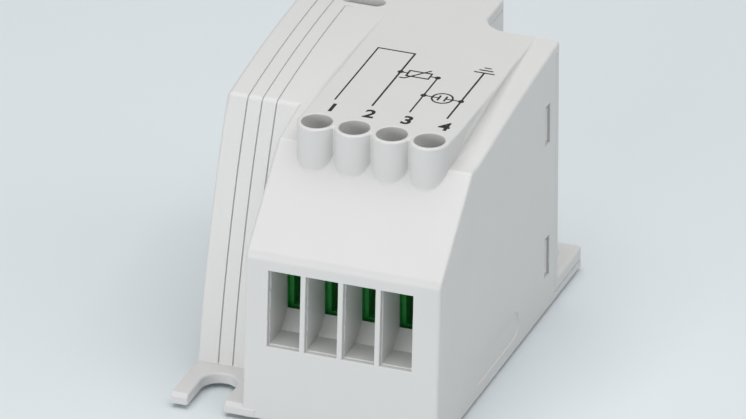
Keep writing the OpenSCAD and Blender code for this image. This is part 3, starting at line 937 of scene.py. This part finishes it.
def body(x, y, z):
    """The outside of the closed case, without feet, plateau and openings."""
    nose = round_max(round_max(nose_front(y, z), nose_slant(y, z), 0.5), nose_roof(x, y, z), 0.15)
    nose = round_max(nose, nose_x - x, 0.45)
    nose = round_max(nose, x - right_x + oval_cut(y, z), edge_r)
    left_r = np.interp(z, [32, 35], [0.3, 0.65])
    left = round_max(left_side(y, z) + groove_cut(x, y), -right_x - x, left_r)
    left = np.maximum(left, x - nose_x - 2 * wall)
    back = round_max(notch_side(x, y), y - back_y, edge_r)
    back_edge_r = np.interp(x, [notch_x + 0.5, notch_x + notch_r], [edge_r, 0.2])
    return round_max(np.minimum(nose, left), back, back_edge_r)


def slot(x, y):
    """Plan of the front foot's slot, which is open to the front."""
    return np.hypot(x + right_x - slot_inset, np.maximum(y + back_y - slot_depth, 0)) - slot_r


def rear_foot_plan(x, y):
    """Plan of the rear foot, which starts a little inside the walls of the notch."""
    lap = 0.5
    across = np.maximum(notch_x - 2 * lap - x, x - right_x)
    return round_max(across, np.maximum(notch_y - lap - y, y - back_y), edge_r)


def hole(x, y):
    """Plan of the rear foot's screw hole."""
    return np.hypot(x - hole_mid[0], y - hole_mid[1]) - slot_r


def tube_plan(x, y, web):
    """Plan of the row of tubes, with a narrow web in the grooves between them."""
    pole = np.clip(np.floor((x - pole_x) / pitch), 0, poles - 2)
    u = x - pole_x - pole * pitch
    return round_min(np.hypot(u, y - screw_y) - tube_r, np.hypot(u - pitch, y - screw_y) - tube_r, web)


def with_plateau(shell, x, y, z):
    """Adds the label plateau with the tubes at its front. The fillets at its sides grow with its height."""
    rim_r = 0.3
    taper_l = 4
    taper = plateau_side * np.clip(1 - (y - screw_y) / taper_l, 0, 1)
    plan = slab(x, pole_x - tube_r, strip_x - taper)
    plan = round_min(tube_plan(x, y, 0.3), np.maximum(plan, slab(y, screw_y, roof_flat_y)), 0.2)
    plateau = np.maximum(round_max(plan, z - top_z, rim_r), np.maximum(crease_z - z, notch_side(x, y)))
    step = top_z - strip_centre[1] - np.sqrt(strip_r**2 - (y - strip_centre[0]) ** 2)
    fillet = np.interp(y, [screw_y + 2, screw_y + 6], [0.1, 1.5])
    shell = round_min(shell, plateau, np.clip(0.7 * step, 0.01, fillet))
    return np.maximum(shell, z - top_z)


def with_feet(shell, x, y, z):
    """Adds the front foot and the lower layer of the rear one, and takes the lower edges down a little."""
    chamfer = 0.53
    foot = np.maximum(slab(x, -right_x, nose_x + wall), slab(y, -back_y, arc_base[0] + wall))
    foot = round_max(foot, z - foot_t, 0.06)
    foot = np.maximum(foot, (z - foot_t + chamfer - back_y - y) * math.sqrt(0.5))
    foot = round_max(foot, -slot(x, y), 0.3)
    shell = round_min(shell, foot, 0.12)
    foot = round_max(rear_foot_plan(x, y), -hole(x, y), 0.1)
    shell = np.minimum(shell, round_max(foot, z - floor_t, seam_r))
    shell = np.maximum(shell, slab(x, -right_x, right_x))
    return round_max(shell, -z, 0.2)


def cavity(x, y, z):
    """The room inside the case, one wall in from its faces and open at the back."""
    chamber = np.maximum(nose_front(y, z), nose_slant(y, z)) + wall
    chamber = np.maximum(chamber, nose_roof(x + wall, y, z) + roof_t)
    chamber = np.maximum(chamber, slab(x, nose_x + wall, right_x - wall))
    annex = np.maximum(left_front(y, z) + wall, roof(y, z) + roof_t)
    annex = np.maximum(annex, slab(x, -right_x + wall, nose_x + 2 * wall))
    return np.maximum(np.minimum(chamber, annex), floor_t - z)


def cover_opening(x, y, z):
    """Everything that the rear cover fills or closes."""
    strip = np.maximum(x + right_x - wall, y - back_y + cover_t)
    return np.maximum(np.maximum(notch_y - cover_t - y, -strip), slab(z, floor_t, seam_z))


def inner_parts(x, y, z):
    """The funnel block behind the ports, the tubes' lower ends and the rails for the board."""
    rail_w = 1.0
    rail_t = 1.1
    rail_root = 0.5
    right_rail = (board_low[1], 10.6)
    left_rail = (-12.5, 15)
    side_wall = right_x - wall
    funnel = np.maximum(slab(x, nose_x + 1, right_x - 1), slab(z, port_z0 - wall, port_z1 + wall))
    funnel = np.maximum(funnel, np.maximum(y - funnel_back_y, nose_front(y, z) + wall / 2))
    parts = np.minimum(funnel, np.maximum(tube_plan(x, y, 0), slab(z, tube_z0, top_z - roof_t)))
    for low_z in (board_low[2] - fit - rail_t, board_high[2] + fit):
        ledge = slab(z, low_z, low_z + rail_t)
        right = np.maximum(slab(x, side_wall - rail_w, side_wall + rail_root), slab(y, *right_rail))
        left = np.maximum(slab(x, -side_wall - rail_root, -side_wall + rail_w), slab(y, *left_rail))
        parts = np.minimum(parts, np.maximum(ledge, np.minimum(right, left)))
    return parts


def wire_ports(x, y, z):
    """The four ports: a mouth in the front wall, then a slightly smaller funnel that ends in a ramp."""
    run = ramp_back_y - ramp_front_y
    rise = ramp_z - port_z0
    ramp = ((y - ramp_front_y) * rise - (z - port_z0) * run) / math.hypot(run, rise)
    port = np.maximum(from_pole(x) - port_w / 2, slab(z, port_z0, port_z1))
    mouth = np.maximum(port, -nose_front(y, z) - mouth_t)
    return np.minimum(mouth, np.maximum(np.maximum(port + mouth_step, ramp), y - funnel_back_y - 1))


def housing_shape(x, y, z):
    shell = with_feet(with_plateau(body(x, y, z), x, y, z), x, y, z)
    shell = np.maximum(shell, -cavity(x, y, z))
    shell = round_max(shell, -cover_opening(x, y, z), seam_r)
    shell = np.minimum(shell, inner_parts(x, y, z))
    shell = round_max(shell, -wire_ports(x, y, z), 0.12)
    bore = np.maximum(np.hypot(from_pole(x), y - screw_y) - bore_r, tube_z0 - 1 - z)
    shell = round_max(shell, -bore, 0.12)
    for side, window_y in side_windows:
        window = np.minimum(np.abs(z - window_z[0]), np.abs(z - window_z[1])) - window_half[1]
        window = np.maximum(window, np.abs(y - window_y) - window_half[0])
        shell = round_max(shell, -np.maximum(window, right_x - 2 * wall - side * x), 0.1)
    latch = np.maximum(long_round(x, y, latch_mid, latch_half), top_z - 2 * roof_t - z)
    return round_max(shell, -latch, 0.15)


housing_places = (
    stations(
        -right_x,
        right_x,
        1.8,
        [(x + side * port_w / 2, 0.15, 0.09) for x in pole_xs for side in (-1, 1)]
        + [(x, 0.14, 0.03) for x in groove_xs]
        + [(side * (right_x - 0.2), 0.5, 0.15) for side in (-1, 1)]
        + [(-right_x + slot_inset, 2.8, 0.2), (hole_mid[0], 2.7, 0.25)]
        + [(row_x + side * row_half, 0.4, 0.12) for side in (-1, 1)]
        + [(nose_x + 0.2, 0.6, 0.16), (row_x, 10, 0.18), (notch_x, 0.5, 0.2), (latch_mid[0], 2.8, 0.25)],
    ),
    stations(
        -back_y,
        back_y,
        1.8,
        [(window_y + side * window_half[0], 0.15, 0.09) for _, window_y in side_windows for side in (-1, 1)]
        + [(-back_y + 0.1, 0.6, 0.1), (crease_y, 1, 0.22), (-back_y + slot_depth, 2.8, 0.25)]
        + [(oval_mid[0] + side * (oval_half[0] - 1.1), 1.2, 0.2) for side in (-1, 1)]
        + [(funnel_back_y, 0, 0.2), (ramp_front_y, 0.2, 0.1), (screw_y, 2.7, 0.16)]
        + [(arc_top[0], 1.2, 0.22), (groove_end_y, 0.25, 0.05)]
        + [(notch_y - cover_t, 0.12, 0.07), (notch_y - 0.3, 0.5, 0.16), (latch_mid[1], 1.2, 0.15)]
        + [(hole_mid[1], 2.7, 0.25), (back_y - cover_t, 0.1, 0.09), (back_y - 0.2, 0.5, 0.16)],
    ),
    stations(
        0,
        top_z,
        1.8,
        [(z + side * window_half[1], 0.15, 0.09) for z in window_z for side in (-1, 1)]
        + [(oval_mid[1] + side * oval_half[1], 0.1, 0.09) for side in (-1, 1)]
        + [(0.1, 0.2, 0.1), (floor_t, 0.12, 0.07), (foot_t - 0.2, 0.5, 0.1), (oval_mid[1], 2.2, 0.2)]
        + [(port_z0, 0.2, 0.09), (ramp_z, 0, 0.2), (port_z1, 0.2, 0.09), (crease_z, 1, 0.22)]
        + [(arc_top[1] - 0.15, 2.0, 0.2), (seam_z, 0.12, 0.08), (top_z - 0.3, 0.5, 0.1)],
    ),
)
# Polycarbonate from a finely eroded mould: an even light grey with a soft, silky sheen.
grey_polycarbonate = moulded_plastic("moulded_polycarbonate", "#d8d8d7", "#dcdcdb", 0.45, 1.585)
housing = solid("housing_shell", housing_shape, housing_places, grey_polycarbonate)
stands_for(housing, "housing", "base")


# Rear cover
# A light grey cover of the same polycarbonate that closes the back and carries the upper layer of the
# rear foot. It is pushed on once, and three snap hooks hold it for good.
seam_gap = 0.08
rear_foot_z = 2.85
hook_t = 1.0
hook_l = 4.5
hook_half_h = 2.45
hook_x = right_x - wall - fit
barb = 1.5
barb_l = 1.15
latch_barb = 0.45
latch_gap = 0.15
rib_x = (8.2, 14.5)
rib_back_y = 17.5


def side_hooks(x, y, z):
    """Two spring legs along each side wall, with barbs that sit in the windows."""
    hooks = np.float64(99)
    high = np.minimum(np.abs(z - window_z[0]), np.abs(z - window_z[1])) - hook_half_h
    for side, window_y in side_windows:
        out = side * x
        start = window_y - window_half[0]
        ahead = y - start - fit
        leg = np.maximum(slab(out, hook_x - hook_t, hook_x), slab(y, start, start + hook_l))
        ramp = ((out - hook_x + fit) * barb_l / 2 - ahead * barb) / math.hypot(barb_l / 2, barb)
        tooth = np.maximum(slab(out, hook_x - 2 * fit, hook_x + barb), np.maximum(ahead - barb_l, ramp))
        hooks = np.minimum(hooks, round_max(np.minimum(leg, tooth), high, 0.1))
    return hooks


def top_hook(x, y, z):
    """A spring leg under the tail's roof, with a barb that sits in the long window."""
    top = seam_z - fit
    half_w = latch_half[0] - latch_half[1]
    start = latch_mid[1] - latch_half[1]
    leg = np.maximum(slab(y, start, back_y - cover_t / 2), slab(z, top - hook_t, top))
    leg = np.maximum(leg, np.abs(x - latch_mid[0]) - half_w)
    run = latch_half[1] / 2
    ramp = ((z - top) * run - (y - start) * latch_barb) / math.hypot(run, latch_barb)
    tooth = np.maximum(slab(z, top - hook_t, top + latch_barb), ramp)
    tooth = round_max(tooth, long_round(x, y, latch_mid, latch_half - latch_gap), 0.1)
    return np.minimum(leg, tooth)


def rear_cover_shape(x, y, z):
    inside = np.maximum(y - back_y + cover_t, x - notch_x + wall)
    inside = np.minimum(inside, y - notch_y + cover_t) - seam_gap
    height = slab(z, floor_t + seam_gap, seam_z - seam_gap)
    plates = round_max(body(x, y, z), np.maximum(height, -inside), seam_r)
    rim_r = np.interp(y, [back_y - 1.5, back_y - 0.3], [0.6, 0.2])
    foot = round_max(round_max(rear_foot_plan(x, y), z - rear_foot_z, rim_r), -hole(x, y), 0.25)
    cover = round_min(plates, foot, 0.25)
    cover = round_max(cover, np.maximum(slab(x, -right_x, right_x), floor_t + seam_gap - z), seam_r)
    rib_low = [rib_x[0], board_high[1] + fit, board_low[2]]
    rib = bar(x, y, z, rib_low, [rib_x[1], rib_back_y, board_high[2]], 0.1)
    return np.minimum(np.minimum(cover, rib), np.minimum(side_hooks(x, y, z), top_hook(x, y, z)))


cover_places = (
    stations(
        -right_x,
        right_x,
        1.6,
        [(side * (right_x - 0.2), 0.6, 0.15) for side in (-1, 1)]
        + [(side * hook_x, 0, 0.15) for side in (-1, 1)]
        + [(notch_x, 0.6, 0.16), (notch_x - wall, 0, 0.2), (notch_x + 1.5, 1.5, 0.3)]
        + [(hole_mid[0], 2.7, 0.25)]
        + [(latch_mid[0] + side * 2.1, 0.7, 0.12) for side in (-1, 1)],
    ),
    stations(
        side_windows[0][1] - window_half[0],
        back_y,
        1.6,
        [(y, 0.9, 0.16) for _, y in side_windows]
        + [(notch_y - cover_t, 0.12, 0.07), (notch_y - 0.2, 0.5, 0.15), (notch_y + 1.5, 1.5, 0.3)]
        + [(latch_mid[1], 1.2, 0.2), (hole_mid[1], 2.7, 0.25), (back_y - cover_t, 0.1, 0.09)]
        + [(back_y - 0.2, 0.5, 0.15)],
    ),
    stations(
        floor_t,
        cover_high[2],
        1.6,
        [(z + side * hook_half_h, 0.15, 0.1) for z in window_z for side in (-1, 1)]
        + [(floor_t, 0.15, 0.07), (rear_foot_z - 0.3, 0.5, 0.12), (seam_z, 0.15, 0.07)]
        + [(seam_z + 0.5, 0.4, 0.15), (board_low[2], 0, 0.15), (board_high[2], 0, 0.15)],
    ),
)
cover = solid("rear_cover_shell", rear_cover_shape, cover_places, grey_polycarbonate)
stands_for(cover, "rear_cover", "base")


# Label print
# Black pad print on the plateau: a number behind each screwdriver tube and a plain wiring diagram.
# The ink film is laid on in one hit and is about fifteen thousandths of a millimetre thick.
line_w = 0.3
dot_r = 0.42
ring_r = 1.35
ink_sink = 0.01
rail_y0 = -7.6
bus_y = 8.0
earth_y = bus_y - 2
disc_line_y = 2.6
gap_line_y = -2.6
x1, x2, x3, x4 = pole_xs
mid_a = (x2 + x3) / 2
mid_b = (x3 + x4) / 2
box_half = np.array([1.5, 0.75])
slash_low = np.array([mid_a - 1.5, disc_line_y - 1.5])
slash_high = np.array([mid_a + 1.1, disc_line_y + 1.5])
slash_foot = np.array([0.6, 0])
plate_xs = (mid_b - 0.45, mid_b + 0.45)
plate_half = 0.6
strokes = [
    ((x1, rail_y0), (x1, bus_y)),
    ((x1, bus_y), (x2, bus_y)),
    ((x2, rail_y0), (x2, bus_y)),
    ((x3, rail_y0), (x3, disc_line_y)),
    ((x4, rail_y0), (x4, earth_y)),
    ((x2, disc_line_y), (mid_a - box_half[0], disc_line_y)),
    ((mid_a + box_half[0], disc_line_y), (x3, disc_line_y)),
    (slash_low, slash_high),
    (slash_low - slash_foot, slash_low),
    ((x3, gap_line_y), (plate_xs[0], gap_line_y)),
    ((plate_xs[1], gap_line_y), (x4, gap_line_y)),
]
for x in plate_xs:
    strokes.append(((x, gap_line_y - plate_half), (x, gap_line_y + plate_half)))
for half, rise in ((1.3, 0), (0.85, 0.7), (0.4, 1.4)):
    strokes.append(((x4 - half, earth_y + rise), (x4 + half, earth_y + rise)))
dots = [(x2, disc_line_y), (x3, disc_line_y), (x3, gap_line_y), (x4, gap_line_y)]


def label_shape(x, y, z):
    ink = np.full(np.broadcast(x, y).shape, 99.0)
    for start, end in strokes:
        along = np.subtract(end, start)
        t = np.clip(((x - start[0]) * along[0] + (y - start[1]) * along[1]) / along.dot(along), 0, 1)
        ink = np.minimum(ink, np.hypot(x - start[0] - t * along[0], y - start[1] - t * along[1]) - line_w / 2)
    for dot_x, dot_y in dots:
        ink = np.minimum(ink, np.hypot(x - dot_x, y - dot_y) - dot_r)
    frame_line = np.maximum(np.abs(x - mid_a) - box_half[0], np.abs(y - disc_line_y) - box_half[1])
    ring = np.hypot(x - mid_b, y - gap_line_y) - ring_r
    ink = np.minimum(ink, np.minimum(np.abs(frame_line), np.abs(ring)) - line_w / 2)
    return np.maximum(ink, slab(z, top_z - ink_sink, top_z + ink_t))


# Pad-print ink dries to a matt black film with slightly uneven cover.
ink_black, tree, shader, place = new_finish("black_pad_print_ink")
cover_mm = 0.4
black = two_tone(tree, place, cover_mm, "#1a1a1a", "#262626")
feed(tree, shader, {"Base Color": black, "Roughness": 0.55})
label_places = (
    stations(x1 - 1, x4 + 1.5, 0.08),
    stations(rail_y0, bus_y, 0.08),
    np.array([top_z - 0.2, top_z + 0.002, top_z + 0.2]),
)
diagram = solid("wiring_diagram", label_shape, label_places, ink_black)
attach(diagram, "base")
number_h = 3.0
number_y = -10.0
number_shift = 0.5
stroke_gain = 0.09
for i, x in enumerate(pole_xs, 1):
    digit = bpy.data.curves.new(f"terminal_number_{i}", "FONT")
    digit.body = str(i)
    digit.size = number_h / 1000
    digit.offset = stroke_gain / 1000
    digit.extrude = (ink_t + ink_sink) / 2000
    digit.align_x = "CENTER"
    digit.align_y = "CENTER"
    digit.materials.append(ink_black)
    number = placed(f"terminal_number_{i}", digit)
    number.location = Vector((x + number_shift, number_y, top_z + (ink_t - ink_sink) / 2)) / 1000
    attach(number, "base")


# Studio
# A plain pale floor in a dim room with three softboxes: a large one overhead, a long low one in front,
# and a weaker one high on the right. The floor lies a little below the feet, as in the photo.
floor_half = 20000
floor_drop = 0.55
plan_corners = ((-1, -1), (1, -1), (1, 1), (-1, 1))
floor_mesh = bpy.data.meshes.new("floor")
floor_corners = [Vector((x, y, 0)) * floor_half / 1000 for x, y in plan_corners]
floor_mesh.from_pydata(floor_corners, [], [(0, 1, 2, 3)])
floor = placed("floor", floor_mesh)
floor.location.z = -floor_drop / 1000
# Matt paper shows an even tone and the part's shadow, and reflects nothing.
paper, tree, shader, _ = new_finish("matt_backdrop_paper")
feed(tree, shader, {"Base Color": linear("#dfe6e9"), "Roughness": 1})
floor.data.materials.append(paper)

world = bpy.data.worlds.new("studio")
world.use_nodes = True
room = world.node_tree
feed(room, room.nodes["Background"], {"Color": linear("#ffffff"), "Strength": 0.25})
bpy.context.scene.world = world

# The camera stands 20.7 degrees to the right and 27.5 degrees up, far off with a long lens.
photo_w = 746
focal_px = 12755
camera_distance = 1634.9
target = Vector((0.19, -2.47, 19.26)) / 1000
towards_camera = Vector((0.3132, -0.8302, 0.4611)).normalized()
camera = bpy.data.cameras.new("camera")
camera.sensor_width = 36
camera.lens = camera.sensor_width * focal_px / photo_w
camera.clip_end = 100
viewpoint = placed("camera", camera)
viewpoint.location = target + towards_camera * camera_distance / 1000
viewpoint.rotation_euler = towards_camera.to_track_quat("Z", "Y").to_euler()
bpy.context.scene.camera = viewpoint


def softbox(name, azimuth, height, size, level):
    """A softbox at angles in degrees from the front and from the floor, with its size in metres."""
    distance = 0.6
    turn = math.radians(azimuth)
    rise = math.radians(height)
    towards = Vector((math.sin(turn) * math.cos(rise), -math.cos(turn) * math.cos(rise), math.sin(rise)))
    lamp = bpy.data.lights.new(name, "AREA")
    lamp.shape = "RECTANGLE"
    lamp.size, lamp.size_y = size
    lamp.energy = level * math.pi * size[0] * size[1]
    stand = placed(name, lamp)
    stand.location = target + towards * distance
    stand.rotation_euler = towards.to_track_quat("Z", "Y").to_euler()


softbox("overhead_softbox", 0, 90, (0.66, 0.66), 2.02)
softbox("low_front_softbox", -15, 10, (0.5, 0.2), 4.14)
softbox("high_right_softbox", 90, 47, (0.43, 0.43), 1.24)
bpy.context.scene.view_settings.view_transform = "Standard"
